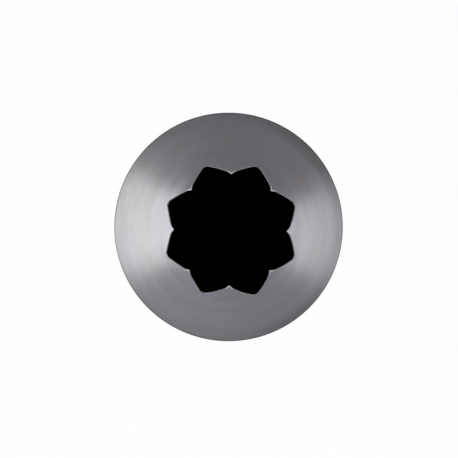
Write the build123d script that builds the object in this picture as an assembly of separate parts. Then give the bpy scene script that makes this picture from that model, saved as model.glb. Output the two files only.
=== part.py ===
"""Open star piping nozzle: one thin sheet drawn into a cone, with eight teeth cut and pressed in at its mouth.

Millimetres. +Z runs along the axis from the rim to the mouth. The origin is the centre of the rim that the
nozzle stands on. A tooth points along +X, and the others follow at equal angles.
"""
from build123d import *
from math import asin, atan2, copysign, cos, pi, sin
import os

# Whole nozzle
height = 50.0                # rim to tooth tips
rim_radius = 17.0            # outside of the wide end
sheet = 0.3                  # thickness of the steel

# Outside of the wall: skirt, body and teeth run straight, with a soft turn between them
skirt_height = 12.5          # the wide, steeper stage that a bag or a coupling grips
skirt_top_radius = 15.25
taper_turn_radius = 60.0
bend_line_radius = 10.05     # at the line where the teeth are pressed inward
bend_turn_radius = 10.0

# Star mouth
tooth_count = 8
tooth_tip_radius = 7.79      # outside of the mouth at the tooth tips
tooth_length = 6.1           # tip to notch root, along the axis
bend_below_root = 1.9        # notch root down to the bend line
tooth_tip_width = 0.2        # on the inside of the sheet
notch_root_width = 0.5
notch_corner_cut = 0.12

# Bevels on the sheet's cut edges, as shares of its thickness
rim_bevel_share = 0.25
mouth_bevel_share = 0.15

overrun = 2.0                # how far the notch punch stands above the tips

root_level = height - tooth_length
bend_level = root_level - bend_below_root

# How far the wall leans in from the axis at each stage
skirt_lean = atan2(rim_radius - skirt_top_radius, skirt_height)
body_lean = atan2(skirt_top_radius - bend_line_radius, bend_level - skirt_height)
tooth_lean = atan2(bend_line_radius - tooth_tip_radius, height - bend_level)

half_pitch = 180 / tooth_count   # degrees from the middle of a tooth to the middle of a notch


def inward(radius, level, lean, depth):
    """The point that lies at a depth under the outside, square to a wall that leans by this much."""
    return radius - depth * cos(lean), level - depth * sin(lean)


def wall_line(depth):
    """Half-section line of the wall from rim to tooth tip, at a depth under its outside."""
    corners = []
    turn_radii = []
    for radius, level, lean_below, lean_above, turn_radius in (
        (skirt_top_radius, skirt_height, skirt_lean, body_lean, taper_turn_radius),
        (bend_line_radius, bend_level, body_lean, tooth_lean, bend_turn_radius),
    ):
        corner_depth = depth / cos((lean_above - lean_below) / 2)
        corners.append(inward(radius, level, (lean_below + lean_above) / 2, corner_depth))
        turn_radii.append(turn_radius - copysign(depth, lean_above - lean_below))
    foot = (rim_radius - depth / cos(skirt_lean), 0)
    tip = inward(tooth_tip_radius, height, tooth_lean, depth)
    return FilletPolyline(foot, *corners, tip, radius=turn_radii)


def drawn_cone():
    """The sheet before its mouth is cut, as thick at the tip as at the rim. Its faces close under a notch."""
    outside = wall_line(0)
    inside = wall_line(sheet)
    tip_end = Line(outside @ 1, inside @ 1)
    rim_end = Line(inside @ 0, outside @ 0)
    section = make_face(outside.edges() + tip_end.edges() + inside.edges() + rim_end.edges())
    return Rot(0, 0, half_pitch) * revolve(Plane.XZ * section, Axis.Z)


def notch_punch():
    """V-shaped punch through the wall along +X, with a narrow flat root and cut corners."""
    tip_radius, tip_height = inward(tooth_tip_radius, height, tooth_lean, sheet)
    tip_angle = pi / tooth_count - asin(tooth_tip_width / 2 / tip_radius)
    half_root = notch_root_width / 2
    flare = (tip_radius * sin(tip_angle) - half_root) / (tip_height - root_level)
    half_top = half_root + flare * (tooth_length + overrun)
    outline = Polyline(
        (-half_root, root_level),
        (half_root, root_level),
        (half_top, height + overrun),
        (-half_top, height + overrun),
        close=True,
    )
    face = make_face(outline)
    face = chamfer(face.vertices().sort_by(Axis.Y)[:2], notch_corner_cut)
    return extrude(Plane.YZ * face, rim_radius)


def cut_star_mouth(cone):
    """One notch at a time between each pair of teeth, then the edges that it leaves are eased."""
    for punch in PolarLocations(0, tooth_count, start_angle=half_pitch) * notch_punch():
        cone -= punch
    deepest_cut = root_level - sheet
    mouth_edges = cone.edges().filter_by(lambda edge: edge.bounding_box().min.Z > deepest_cut)
    return chamfer(mouth_edges, sheet * mouth_bevel_share)


def nozzle_shell():
    """The whole nozzle, with its rim eased inside and out so that it doesn't cut the bag."""
    shell = cut_star_mouth(drawn_cone())
    return chamfer(shell.edges().group_by(Axis.Z)[0], sheet * rim_bevel_share)


os.makedirs("parts", exist_ok=True)
export_step(nozzle_shell(), "parts/nozzle_shell.step")
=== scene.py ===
"""Open star piping nozzle in brushed steel, seen straight down onto its mouth.

Sizes of the nozzle and levels on it are in millimetres, and become metres where they meet Blender. The studio is in
metres. +Z runs from the rim to the mouth, and a tooth points along +X.
"""
from math import asin, atan2, cos, floor, pi, radians, sin, tan

import bpy
from mathutils import Matrix, Vector


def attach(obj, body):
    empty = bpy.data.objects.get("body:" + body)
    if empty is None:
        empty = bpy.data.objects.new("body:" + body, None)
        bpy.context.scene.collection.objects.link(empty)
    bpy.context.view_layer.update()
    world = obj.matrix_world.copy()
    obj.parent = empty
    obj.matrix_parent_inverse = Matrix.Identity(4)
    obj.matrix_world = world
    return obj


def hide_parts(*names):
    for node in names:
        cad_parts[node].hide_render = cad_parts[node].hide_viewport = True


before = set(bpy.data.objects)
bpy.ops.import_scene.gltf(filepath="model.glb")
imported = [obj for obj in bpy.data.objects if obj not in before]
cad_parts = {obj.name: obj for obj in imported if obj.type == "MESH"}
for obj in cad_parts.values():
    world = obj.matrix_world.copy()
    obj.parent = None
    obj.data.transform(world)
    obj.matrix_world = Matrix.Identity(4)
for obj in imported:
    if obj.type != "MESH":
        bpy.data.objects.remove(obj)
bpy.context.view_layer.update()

MM = 0.001

# Nozzle, as drawn
HEIGHT = 50.0
RIM_RADIUS = 17.0
SHEET = 0.3
MOUTH_THINNING = 0.13        # how much thinner drawing left the sheet at its mouth
SKIRT_HEIGHT = 12.5
SKIRT_TOP_RADIUS = 15.25
TAPER_BLEND_RADIUS = 60.0
BEND_LINE_RADIUS = 9.97      # at the line where the teeth turn inward
BEND_ROUND = 10.0
TOOTH_COUNT = 8
TOOTH_TIP_RADIUS = 7.79
TOOTH_LENGTH = 6.1
BEND_BELOW_ROOT = 1.9        # notch root down to the bend line
TOOTH_TIP_WIDTH = 0.16
TIP_CURL = 0.12              # how far the very tip curls in from the tooth's straight line
TIP_CURL_LENGTH = 0.6
NOTCH_ROOT_WIDTH = 0.5
NOTCH_CORNER_RADIUS = 0.12
MOUTH_ROUND = 0.06           # the sheet's edges at the mouth
RIM_ROUND = 0.1

ROOT_LEVEL = HEIGHT - TOOTH_LENGTH
BEND_LEVEL = ROOT_LEVEL - BEND_BELOW_ROOT
PRESS_MARGIN = 0.6
PRESS_LEVEL = BEND_LEVEL - PRESS_MARGIN   # below every part that the teeth's own pressing moved
PRESS_FOOT = 36.0                         # the wall gives a little with the notches from here up
SQUARE_FOOT = PRESS_LEVEL / 2             # the sheet's section turns square to the floor from here down
HALF_PITCH = pi / TOOTH_COUNT
SKIRT_LEAN = atan2(RIM_RADIUS - SKIRT_TOP_RADIUS, SKIRT_HEIGHT)
BODY_LEAN = atan2(SKIRT_TOP_RADIUS - BEND_LINE_RADIUS, BEND_LEVEL - SKIRT_HEIGHT)
TOOTH_LEAN = atan2(BEND_LINE_RADIUS - TOOTH_TIP_RADIUS - TIP_CURL, HEIGHT - BEND_LEVEL)

# How far each tooth's tip stands out of the true circle in the photograph, from the tooth at +X round
TOOTH_SET = (-0.06, 0.015, 0.03, 0.08, 0.175, 0.17, -0.185, -0.133)

# The same for the notches, from the one after that tooth, and how many degrees each one lies off its place
NOTCH_SET = (0.037, 0.0, -0.023, -0.055, -0.022, 0.0, 0.065, 0.057)
NOTCH_TURN = (0.3, 0.56, 0.46, -0.07, -0.19, -1.09, -0.27, 0.0)

# Fineness of the mesh
BODY_ROWS = 40
PRESSED_ROWS = 16
CORNER_STEPS = 4
FLANK_STEPS = 26
TIP_STEPS = 2
TIP_CROWDING = 1.3           # over 1 draws the rows together towards the tips

OUTSIDE, INSIDE, CUT_EDGE = range(3)

# Photograph and its camera. Pixels count from the picture's top left corner, and the rest is in millimetres.
IMAGE_SIDE = 458
RIM_CENTRE_PX = (228.56, 226.97)
RIM_RADIUS_PX = 114.39
STAR_CENTRE_PX = (230.83, 230.35)
TOOTH_TURN = radians(0.9)    # a tooth points this far clockwise of the picture's right
STAR_LEVEL = 48.0            # height that the star's centre is measured at
CAMERA_DISTANCE = 500.0
SENSOR_WIDTH = 36.0


# Wall of the nozzle

def outside_wall(level):
    """Radius and lean of the outside at a level: skirt, body and teeth are straight, with a soft turn between."""
    radius, lean, height = RIM_RADIUS, SKIRT_LEAN, 0
    for turn_level, turn_radius, turn_lean, turn_round in (
        (SKIRT_HEIGHT, SKIRT_TOP_RADIUS, BODY_LEAN, TAPER_BLEND_RADIUS),
        (BEND_LEVEL, BEND_LINE_RADIUS, TOOTH_LEAN, BEND_ROUND),
    ):
        reach = turn_round * tan((turn_lean - lean) / 2)
        start = turn_level - reach * cos(lean)
        if level <= start:
            break
        if level < turn_level + reach * cos(turn_lean):
            here = asin((level - start) / turn_round + sin(lean))
            return turn_radius + reach * sin(lean) - turn_round * (cos(lean) - cos(here)), here
        radius, lean, height = turn_radius, turn_lean, turn_level
    return radius - (level - height) * tan(lean), lean


def wall_point(level, depth):
    """Radius and height of the point at a depth under the outside, square to the wall at this level."""
    radius, lean = outside_wall(level)
    return radius - depth * cos(lean), level - depth * sin(lean)


def thinning(level):
    """How far drawing took the outside skin in at a level: nothing on the skirt, the most from the notches up."""
    return MOUTH_THINNING * min(1.0, max(0.0, (level - SKIRT_HEIGHT) / (ROOT_LEVEL - SKIRT_HEIGHT)))


def closer_to_tip(share):
    """Even shares of the way to a tooth's tip, drawn together towards it, where the steel curls."""
    return 1 - (1 - share) ** TIP_CROWDING


def notch_outline():
    """One side of a notch, from its middle to the middle of a tooth.

    Each point is its distance from the notch's middle plane, its height, the share of the way that it has gone
    from the tooth's corner to the tooth's middle, and the direction that the cut edge faces.
    """
    tip_radius, tip_height = wall_point(HEIGHT, SHEET)
    tip_angle = HALF_PITCH - asin(TOOTH_TIP_WIDTH / 2 / tip_radius)
    half_root = NOTCH_ROOT_WIDTH / 2
    flare = (tip_radius * sin(tip_angle) - half_root) / (tip_height - ROOT_LEVEL)
    flank_lean = atan2(flare, 1)
    # The rounded corner turns the edge from flat to the flank
    corner_turn = pi / 2 - flank_lean
    corner_reach = NOTCH_CORNER_RADIUS * tan(corner_turn / 2)
    points = [(0, ROOT_LEVEL, 0, pi / 2)]
    corner_start = half_root - corner_reach
    for step in range(CORNER_STEPS + 1):
        turned = corner_turn * step / CORNER_STEPS
        points.append((
            corner_start + NOTCH_CORNER_RADIUS * sin(turned),
            ROOT_LEVEL + NOTCH_CORNER_RADIUS * (1 - cos(turned)),
            0,
            pi / 2 + turned,
        ))
    flank_start = points[-1][1]
    for step in range(1, FLANK_STEPS + 1):
        height = flank_start + (HEIGHT - flank_start) * closer_to_tip(step / FLANK_STEPS)
        facing = pi - flank_lean
        if step == FLANK_STEPS:
            # The tooth's corner faces halfway between its flank and its end
            facing = (facing + pi / 2) / 2
        points.append((half_root + flare * (height - ROOT_LEVEL), height, 0, facing))
    for step in range(1, TIP_STEPS + 1):
        points.append((points[-1][0], HEIGHT, step / TIP_STEPS, pi / 2))
    return points


def uneven_mouth(azimuth, level):
    """The small turn and outward shift of the wall by how each notch was punched and each tooth pressed."""
    turn = azimuth / (2 * HALF_PITCH)
    # Full from the notch roots up, and shared between the notches on both sides
    nearby = min(1.0, max(0.0, (level - PRESS_FOOT) / (ROOT_LEVEL - PRESS_FOOT)))
    notch = floor(turn - 0.5)
    towards_next = sin((turn - 0.5 - notch) * pi / 2) ** 2

    def of_notches(values):
        here, beyond = values[notch % TOOTH_COUNT], values[(notch + 1) % TOOTH_COUNT]
        return nearby * (here + (beyond - here) * towards_next)

    along = max(0.0, (level - PRESS_LEVEL) / (HEIGHT - PRESS_LEVEL))
    tooth = round(turn)
    across = cos((turn - tooth) * pi) ** 2
    curled = max(0.0, 1 - (HEIGHT - level) / TIP_CURL_LENGTH)
    outward = TOOTH_SET[tooth % TOOTH_COUNT] * along ** 2 * across - TIP_CURL * curled ** 2
    return radians(of_notches(NOTCH_TURN)), outward + of_notches(NOTCH_SET)


def lip_section(skin_depth, edge_round):
    """Depth and set-back of the points round a cut edge of the sheet, from the outside skin to the inside."""
    corner = edge_round * (1 - cos(pi / 4))
    rounding = [(0, edge_round), (corner, corner), (edge_round, 0)]
    near_side = [(skin_depth + depth, set_back) for depth, set_back in rounding]
    return near_side + [(SHEET - depth, set_back) for depth, set_back in reversed(rounding)]


def mouth_ring(depth, set_back):
    """Azimuth and level of points all round the star, at one place of the cut edge's section."""
    half = []
    for across, height, share, facing in notch_outline():
        across -= set_back * cos(facing)
        height -= set_back * sin(facing)
        level = min(height + depth * sin(outside_wall(height)[1]), HEIGHT - set_back)
        radius = wall_point(level, depth)[0]
        azimuth = asin(across / radius)
        half.append((azimuth + (HALF_PITCH - azimuth) * share, level))
    ring = []
    for notch in range(TOOTH_COUNT):
        middle = (2 * notch + 1) * HALF_PITCH
        ring += [(middle - azimuth, level) for azimuth, level in reversed(half[1:])]
        ring += [(middle + azimuth, level) for azimuth, level in half[:-1]]
    return ring


def skin_rings(mouth, depth_at):
    """One side of the sheet, from the rim up to its edge at the mouth."""
    body_levels = [RIM_ROUND] + [PRESS_LEVEL * row / BODY_ROWS for row in range(1, BODY_ROWS)]
    rings = [[(azimuth, level, depth_at(level)) for azimuth, _ in mouth] for level in body_levels]
    for row in range(PRESSED_ROWS + 1):
        share = closer_to_tip(row / PRESSED_ROWS)
        levels = [PRESS_LEVEL + (top - PRESS_LEVEL) * share for _, top in mouth]
        rings.append([(azimuth, level, depth_at(level)) for (azimuth, _), level in zip(mouth, levels)])
    return rings


def shell_rings():
    """Rings of azimuth, level and depth: up the outside, over the lip, down the inside and round the rim.

    A second list gives the finish of each ring.
    """
    lip = lip_section(MOUTH_THINNING, MOUTH_ROUND)
    outer_mouth = mouth_ring(*lip[0])
    inner_mouth = mouth_ring(*lip[-1])
    over_lip = [
        [(azimuth, level, depth) for azimuth, level in mouth_ring(depth, set_back)]
        for depth, set_back in lip[1:-1]
    ]
    round_rim = [
        [(azimuth, set_back, depth) for azimuth, _ in outer_mouth]
        for depth, set_back in reversed(lip_section(0, RIM_ROUND)[1:-1])
    ]
    rings = []
    zones = []
    for stretch, zone in (
        (skin_rings(outer_mouth, thinning), OUTSIDE),
        (over_lip, CUT_EDGE),
        (reversed(skin_rings(inner_mouth, lambda level: SHEET)), INSIDE),
        (round_rim, CUT_EDGE),
    ):
        for ring in stretch:
            rings.append(ring)
            zones.append(zone)
    return rings, zones


def shell_point(azimuth, level, depth):
    """The point in metres, with the section squared off at the rim and the mouth's unevenness put in."""
    radius, height = wall_point(level, depth)
    height += depth * sin(outside_wall(level)[1]) * max(0.0, 1 - level / SQUARE_FOOT)
    turned, outward = uneven_mouth(azimuth, level)
    azimuth += turned
    radius += outward
    return Vector((radius * cos(azimuth), radius * sin(azimuth), height)) * MM


def nozzle_mesh():
    """The whole shell. A face between two zones counts as cut edge."""
    rings, zones = shell_rings()
    points = [shell_point(*place) for ring in rings for place in ring]
    column_count = len(rings[0])
    faces = []
    finishes = []
    for row in range(len(rings)):
        above = (row + 1) % len(rings)
        for column in range(column_count):
            beside = (column + 1) % column_count
            faces.append((
                row * column_count + column,
                row * column_count + beside,
                above * column_count + beside,
                above * column_count + column,
            ))
            finishes.append(zones[row] if zones[row] == zones[above] else CUT_EDGE)
    mesh = bpy.data.meshes.new("nozzle_wall")
    mesh.from_pydata(points, [], faces)
    mesh.polygons.foreach_set("material_index", finishes)
    mesh.polygons.foreach_set("use_smooth", [True] * len(faces))
    mesh.validate()
    mesh.update()
    return mesh


# Finishes

class Flow:
    """A value on its way through a finish's nodes. Sums and products of values add Math nodes."""

    def __init__(self, finish, socket):
        self.finish = finish
        self.socket = socket

    def maths(self, operation, first, second):
        return self.finish.node("ShaderNodeMath", {"operation": operation}, {0: first, 1: second})

    def __add__(self, other):
        return self.maths("ADD", self, other)

    def __sub__(self, other):
        return self.maths("SUBTRACT", self, other)

    def __rsub__(self, other):
        return self.maths("SUBTRACT", other, self)

    def __mul__(self, other):
        return self.maths("MULTIPLY", self, other)

    __radd__ = __add__
    __rmul__ = __mul__


class Finish:
    """A material, or the world, with nothing on it yet."""

    def __init__(self, owner):
        owner.use_nodes = True
        self.owner = owner
        self.tree = owner.node_tree
        self.tree.nodes.clear()

    def node(self, kind, settings=None, inputs=None, output=0):
        made = self.tree.nodes.new(kind)
        for name, value in (settings or {}).items():
            setattr(made, name, value)
        for name, value in (inputs or {}).items():
            if isinstance(value, Flow):
                self.tree.links.new(value.socket, made.inputs[name])
            else:
                made.inputs[name].default_value = value
        return Flow(self, made.outputs[output])

    def surface(self, shader, kind="ShaderNodeOutputMaterial"):
        output = self.tree.nodes.new(kind)
        self.tree.links.new(shader.socket, output.inputs["Surface"])
        return self.owner

    def place(self):
        """Where the point lies on the nozzle, in metres."""
        return self.node("ShaderNodeTexCoord", output="Object")

    def distance(self, place, point):
        return self.node("ShaderNodeVectorMath", {"operation": "DISTANCE"}, {0: place, 1: point}, output="Value")

    def noise(self, place, scale, detail, roughness):
        return self.node("ShaderNodeTexNoise", {}, {
            "Vector": place, "Scale": scale, "Detail": detail, "Roughness": roughness,
        })

    def grain(self, place, squeeze, detail, roughness):
        """Noise that is squeezed by a different amount along each axis."""
        squeezed = self.node("ShaderNodeVectorMath", {"operation": "MULTIPLY"}, {0: place, 1: squeeze})
        return self.noise(squeezed, 1.0, detail, roughness)

    def band(self, value, start, end):
        """0 before the start, 1 after the end, and smooth between."""
        return self.node("ShaderNodeMapRange", {"interpolation_type": "SMOOTHSTEP"}, {
            "Value": value, "From Min": start, "From Max": end,
        })

    def above(self, place, start, end):
        """0 below the first level on the nozzle, 1 above the second, and smooth between."""
        height = self.node("ShaderNodeSeparateXYZ", {}, {0: place}, output="Z")
        return self.band(height, start * MM, end * MM)

    def blend(self, share, first, second):
        """A colour between two others."""
        return self.node("ShaderNodeMix", {"data_type": "RGBA"}, {0: share, 6: first, 7: second}, output=2)

    def bump(self, height, distance, strength):
        return self.node("ShaderNodeBump", {}, {
            "Height": height, "Distance": distance * MM, "Strength": strength,
        })


def grey(level, blue=0.0, red=0.0):
    """A near neutral colour, a little bluer or redder."""
    return (level * (1 + red), level, level * (1 + blue), 1.0)


BLACK = grey(0.0)

# Tones of the outside: the steel's mean, and what it swings between
OUTSIDE_TONE = 0.43
DARK_STEEL = OUTSIDE_TONE * 0.74
LIGHT_STEEL = OUTSIDE_TONE * 1.26
# A bluish tint with a painted reflection, lighter than the steel, for the pressed zone
TINT_AND_REFLECTION_STEEL = grey(OUTSIDE_TONE * 1.08, 0.1, -0.02)
SCUFFED_STEEL = grey(OUTSIDE_TONE * 1.9)
GRAZING_TINT = grey(0.2, 0.22, 0.06)
OUTSIDE_ROUGHNESS = 0.6

INSIDE_DARK = grey(0.4, 0.02)
INSIDE_LIGHT = grey(0.56, 0.01)
INSIDE_TINT = grey(0.6)
INSIDE_ROUGHNESS = 0.48

EDGE_TONE = 0.24
EDGE_DARK = grey(EDGE_TONE * 0.8, 0.03)
EDGE_LIGHT = grey(EDGE_TONE * 1.2, 0.02)
# Worn steel with a painted highlight, for the teeth's tips
EDGE_WORN_AND_HIGHLIGHT = grey(0.7, 0.01)
EDGE_ROUGHNESS = 0.42

# How finely each texture repeats, per metre, and along X, Y and Z where that differs
HAIRLINES = (60.0, 60.0, 9000.0)
BANDS = (40.0, 40.0, 600.0)
TINTS = (130.0, 130.0, 300.0)
SCUFFS = (500.0, 500.0, 160.0)
DRAW_LINES = (1500.0, 1500.0, 90.0)
OUTSIDE_CLOUDS = 160.0
INSIDE_CLOUDS = 120.0
PUNCH_GRAIN = 2500.0

# Share of painted shade at the foot, darker towards the rim, then the levels that it fades between: over the skirt,
# and just at the rim
FOOT_PAINTED_SHADE = ((0.13, 6, 20), (0.42, 0.4, 2.6))

# Levels between which the bluish tint with its painted reflection by the mouth, and the worn tips with their
# painted highlight, set in
TINT_AND_REFLECTION_LEVELS = (36, 45)
WORN_AND_HIGHLIGHT_LEVELS = (49, 49.8)

# Azimuth, level and reach of each patch, then the share that its colour covers and the colour. They follow tones
# in the photograph: brighter by the mouth, painted reflections, and darker at the rim, painted shade.
PAINTED_LIGHT_PATCHES = (
    (radians(-36), 45, 4, 0.45, grey(OUTSIDE_TONE * 1.4, 0.08, -0.02)),
    (radians(-34), 37, 7, 0.2, grey(OUTSIDE_TONE * 1.4, 0.08, -0.02)),
    (radians(142), 45, 4, 0.5, grey(OUTSIDE_TONE * 1.4, 0.1, -0.02)),
    (radians(145), 37, 6, 0.2, grey(OUTSIDE_TONE * 1.4, 0.1, -0.02)),
    (radians(26), 40, 6, 0.12, grey(OUTSIDE_TONE * 1.4, 0.08, -0.02)),
    (radians(-51), 5, 14, 0.2, BLACK),
    (radians(36), 3, 16, 0.19, BLACK),
)


def brushed_outside():
    """Satin steel, brushed round the cone on a lathe."""
    finish = Finish(bpy.data.materials.new("brushed_outside"))
    place = finish.place()
    hairlines = finish.grain(place, HAIRLINES, 4.0, 0.7)
    bands = finish.grain(place, BANDS, 3.0, 0.6)
    clouds = finish.noise(place, OUTSIDE_CLOUDS, 3.0, 0.55)
    tone = 0.5 * clouds + 0.3 * bands + 0.2 * hairlines
    tinted = finish.band(finish.grain(place, TINTS, 3.0, 0.6), 0.35, 0.65)
    dark = finish.blend(tinted, grey(DARK_STEEL, 0.02, 0.035), grey(DARK_STEEL, 0.06, -0.02))
    light = finish.blend(tinted, grey(LIGHT_STEEL, 0.02, 0.035), grey(LIGHT_STEEL, 0.055, -0.02))
    colour = finish.blend(tone, dark, light)
    # Painted shade: the steel darkens towards the rim
    for share, start, end in FOOT_PAINTED_SHADE:
        colour = finish.blend(share * (1 - finish.above(place, start, end)), colour, BLACK)
    # The pressed zone is slightly bluer and lighter: a bluish tint of the steel, and a painted reflection
    tint_and_reflection = finish.above(place, *TINT_AND_REFLECTION_LEVELS) * finish.band(clouds, 0.3, 0.6)
    colour = finish.blend(0.75 * tint_and_reflection, colour, TINT_AND_REFLECTION_STEEL)
    # Painted reflections by the mouth and painted shade at the rim
    for azimuth, level, reach, share, patch_colour in PAINTED_LIGHT_PATCHES:
        radius = outside_wall(level)[0]
        middle = Vector((radius * cos(azimuth), radius * sin(azimuth), level)) * MM
        patch = 1 - finish.band(finish.distance(place, middle), 0.0, reach * MM)
        colour = finish.blend(share * patch, colour, patch_colour)
    scuffed = finish.band(finish.grain(place, SCUFFS, 4.0, 0.75), 0.62, 0.72)
    colour = finish.blend(0.22 * scuffed, colour, SCUFFED_STEEL)
    return finish.surface(finish.node("ShaderNodeBsdfPrincipled", {}, {
        "Base Color": colour,
        "Metallic": 1.0,
        "Roughness": OUTSIDE_ROUGHNESS + 0.12 * (hairlines - 0.5) + 0.05 * (clouds - 0.5),
        "Specular Tint": GRAZING_TINT,
        "Anisotropic": 1.0,
        "Anisotropic Rotation": 0.25,
        "Normal": finish.bump(hairlines + 0.5 * bands, 0.02, 0.35),
    }))


def drawn_inside():
    """The inside as it came off the drawing tool: duller, with faint lines along the draw."""
    finish = Finish(bpy.data.materials.new("drawn_inside"))
    place = finish.place()
    clouds = finish.noise(place, INSIDE_CLOUDS, 3.0, 0.5)
    lines = finish.grain(place, DRAW_LINES, 3.0, 0.6)
    return finish.surface(finish.node("ShaderNodeBsdfPrincipled", {}, {
        "Base Color": finish.blend(0.6 * clouds + 0.4 * lines, INSIDE_DARK, INSIDE_LIGHT),
        "Metallic": 1.0,
        "Roughness": INSIDE_ROUGHNESS + 0.16 * (lines - 0.5),
        "Specular Tint": INSIDE_TINT,
        "Normal": finish.bump(lines, 0.02, 0.3),
    }))


def punched_edge():
    """Punched and trimmed sheet, dull in the notches and bright at the teeth's tips: worn there, with a painted
    highlight.
    """
    finish = Finish(bpy.data.materials.new("punched_edge"))
    place = finish.place()
    grain = finish.noise(place, PUNCH_GRAIN, 3.0, 0.6)
    dull = finish.blend(grain, EDGE_DARK, EDGE_LIGHT)
    return finish.surface(finish.node("ShaderNodeBsdfPrincipled", {}, {
        "Base Color": finish.blend(finish.above(place, *WORN_AND_HIGHLIGHT_LEVELS), dull, EDGE_WORN_AND_HIGHLIGHT),
        "Metallic": 1.0,
        "Roughness": EDGE_ROUGHNESS + 0.14 * (grain - 0.5),
        "Normal": finish.bump(grain, 0.01, 0.3),
    }))


def make_nozzle():
    piece = bpy.data.objects.new("piping_nozzle", nozzle_mesh())
    bpy.context.collection.objects.link(piece)
    # In the order of OUTSIDE, INSIDE and CUT_EDGE
    for finish in (brushed_outside(), drawn_inside(), punched_edge()):
        piece.data.materials.append(finish)
    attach(piece, "root")
    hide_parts("nozzle_shell")


# Studio, in metres

FLOOR_RADIUS = 4.0
FLOOR_HEIGHT = -0.00005      # a hair below the rim
FLOOR_TONE = 0.86
FLOOR_PLAIN_SHARE = 0.98     # what is left of the floor's own shading shows the nozzle's shadow
# A near-black disc on the floor under the mouth, painted shade inside the nozzle
BORE_SHADE_RADIUS = 0.01666  # just inside the wall
BORE_SHADE_HEIGHT = 0.00002
BORE_SHADE_TONE = 0.001
DISC_SIDES = 96

# Azimuth, distance, half of the width as an angle, lowest and highest elevation, radiance and colour
SOFTBOXES = {
    "left_softbox": (
        radians(179.5), 0.3, radians(29), radians(8), radians(50), 3.35, grey(1.0, -0.045, -0.008),
    ),
    "right_softbox": (
        radians(-3.75), 0.12, radians(25.3), radians(24), radians(60), 2.13, grey(1.0),
    ),
}
CEILING_HEIGHT = 1.0
CEILING_SIDE = 0.8
CEILING_RADIANCE = 0.25

# The room from the near side, at the picture's foot, to the far side, and the light that spills past one softbox
NEAR_COLOUR = grey(0.2, 0.12, 0.06)
FAR_COLOUR = grey(0.05, 0.3, 0.35)
FAR_BAND = (-0.6, 0.3)
SPILL_COLOUR = grey(0.45, 0.06, 0.04)
SPILL_AZIMUTH = radians(-160)
SPILL_BAND = (-0.2, 0.9)
HORIZON_BAND = (0.03, 0.12)


def seen_directly(finish):
    """1 for what the camera, a reflection or a view through glass shows, 0 for light that falls on things."""
    kinds = [finish.node("ShaderNodeLightPath", output=kind)
             for kind in ("Is Camera Ray", "Is Glossy Ray", "Is Transmission Ray")]
    return finish.node("ShaderNodeMath", {"operation": "ADD", "use_clamp": True}, {
        0: kinds[0] + kinds[1], 1: kinds[2],
    })


def pale_floor():
    finish = Finish(bpy.data.materials.new("pale_floor"))
    lit = finish.node("ShaderNodeBsdfDiffuse", {}, {"Color": grey(FLOOR_TONE)})
    plain = finish.node("ShaderNodeEmission", {}, {"Color": grey(1.0), "Strength": 1.0})
    return finish.surface(finish.node("ShaderNodeMixShader", {}, {
        0: FLOOR_PLAIN_SHARE * seen_directly(finish), 1: lit, 2: plain,
    }))


def painted_bore_shade():
    """Painted shade: a near-black disc for the shade inside the nozzle, which is black in the photograph."""
    finish = Finish(bpy.data.materials.new("painted_bore_shade"))
    return finish.surface(finish.node("ShaderNodeBsdfDiffuse", {}, {"Color": grey(BORE_SHADE_TONE)}))


def disc(name, radius, height, finish):
    mesh = bpy.data.meshes.new(name)
    angles = [2 * pi * side / DISC_SIDES for side in range(DISC_SIDES)]
    ring = [(radius * cos(angle), radius * sin(angle), height) for angle in angles]
    mesh.from_pydata(ring, [], [range(DISC_SIDES)])
    mesh.materials.append(finish)
    piece = bpy.data.objects.new(name, mesh)
    bpy.context.collection.objects.link(piece)


def make_floor():
    disc("floor", FLOOR_RADIUS, FLOOR_HEIGHT, pale_floor())
    disc("bore_painted_shade", BORE_SHADE_RADIUS, BORE_SHADE_HEIGHT, painted_bore_shade())


def hang_panel(name, shape, width, height, radiance):
    """A panel of light that the camera doesn't see, at the origin and facing down."""
    panel = bpy.data.lights.new(name, "AREA")
    panel.shape = shape
    panel.size = width
    panel.size_y = height
    panel.energy = radiance * pi * width * height
    lamp = bpy.data.objects.new(name, panel)
    bpy.context.collection.objects.link(lamp)
    lamp.visible_camera = False
    return lamp


def softbox(name, azimuth, distance, half_width, low, high, radiance, colour):
    """An upright panel that faces the nozzle's axis and spans these elevations, seen from the rim's centre."""
    bottom = distance * tan(low)
    top = distance * tan(high)
    lamp = hang_panel(name, "RECTANGLE", 2 * distance * tan(half_width), top - bottom, radiance)
    lamp.data.color = colour[:3]
    lamp.location = (distance * cos(azimuth), distance * sin(azimuth), (bottom + top) / 2)
    aim = Vector((-cos(azimuth), -sin(azimuth), 0))
    lamp.rotation_euler = aim.to_track_quat("-Z", "Y").to_euler()


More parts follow.
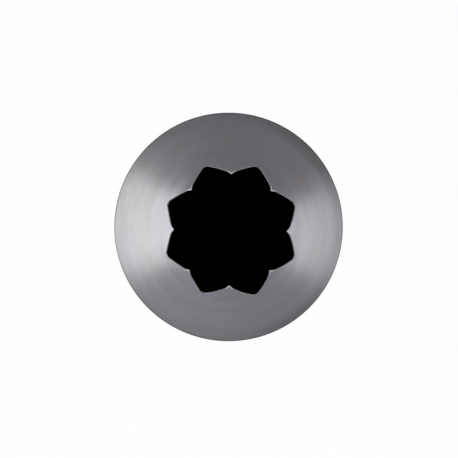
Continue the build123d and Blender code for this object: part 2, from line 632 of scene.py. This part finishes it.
def studio_world():
    """Dim, least so beside the left softbox, and white from just over the horizon down, as low views show it."""
    world = bpy.data.worlds.new("studio")
    bpy.context.scene.world = world
    finish = Finish(world)
    direction = finish.node("ShaderNodeTexCoord", output="Generated")
    rise = finish.node("ShaderNodeSeparateXYZ", {}, {0: direction}, output="Z")
    far = finish.node("ShaderNodeSeparateXYZ", {}, {0: direction}, output="Y")
    towards_spill = finish.node("ShaderNodeVectorMath", {"operation": "DOT_PRODUCT"}, {
        0: direction, 1: (cos(SPILL_AZIMUTH), sin(SPILL_AZIMUTH), 0),
    }, output="Value")
    room = finish.blend(finish.band(far, *FAR_BAND), NEAR_COLOUR, FAR_COLOUR)
    room = finish.blend(finish.band(towards_spill, *SPILL_BAND), room, SPILL_COLOUR)
    colour = finish.blend(finish.band(rise, *HORIZON_BAND), grey(1.0), room)
    finish.surface(finish.node("ShaderNodeBackground", {}, {"Color": colour}), "ShaderNodeOutputWorld")


def make_lights():
    for name, panel in SOFTBOXES.items():
        softbox(name, *panel)
    ceiling = hang_panel("ceiling_panel", "SQUARE", CEILING_SIDE, CEILING_SIDE, CEILING_RADIANCE)
    ceiling.location = (0, 0, CEILING_HEIGHT)
    studio_world()


def make_camera():
    """Long lens straight above, placed by where the rim's and the star's centres fall in the picture."""
    scale = RIM_RADIUS_PX / RIM_RADIUS
    right = Vector((cos(TOOTH_TURN), sin(TOOTH_TURN), 0))
    up = Vector((-sin(TOOTH_TURN), cos(TOOTH_TURN), 0))

    def on_floor(pixel):
        return (right * (pixel[0] - IMAGE_SIDE / 2) - up * (pixel[1] - IMAGE_SIDE / 2)) / scale

    aim = -on_floor(RIM_CENTRE_PX)
    drift = on_floor(STAR_CENTRE_PX) - on_floor(RIM_CENTRE_PX)
    place = -drift * (CAMERA_DISTANCE - STAR_LEVEL) / STAR_LEVEL
    place.z = CAMERA_DISTANCE
    lens = bpy.data.cameras.new("camera")
    lens.sensor_width = SENSOR_WIDTH
    lens.lens = scale * CAMERA_DISTANCE * SENSOR_WIDTH / IMAGE_SIDE
    camera = bpy.data.objects.new("camera", lens)
    bpy.context.collection.objects.link(camera)
    back = (place - aim).normalized()
    side = up.cross(back).normalized()
    facing = Matrix((side, back.cross(side), back)).transposed().to_4x4()
    camera.matrix_world = Matrix.Translation(place * MM) @ facing
    bpy.context.scene.camera = camera


make_camera()
make_floor()
make_lights()
make_nozzle()
bpy.context.scene.view_settings.view_transform = "Standard"
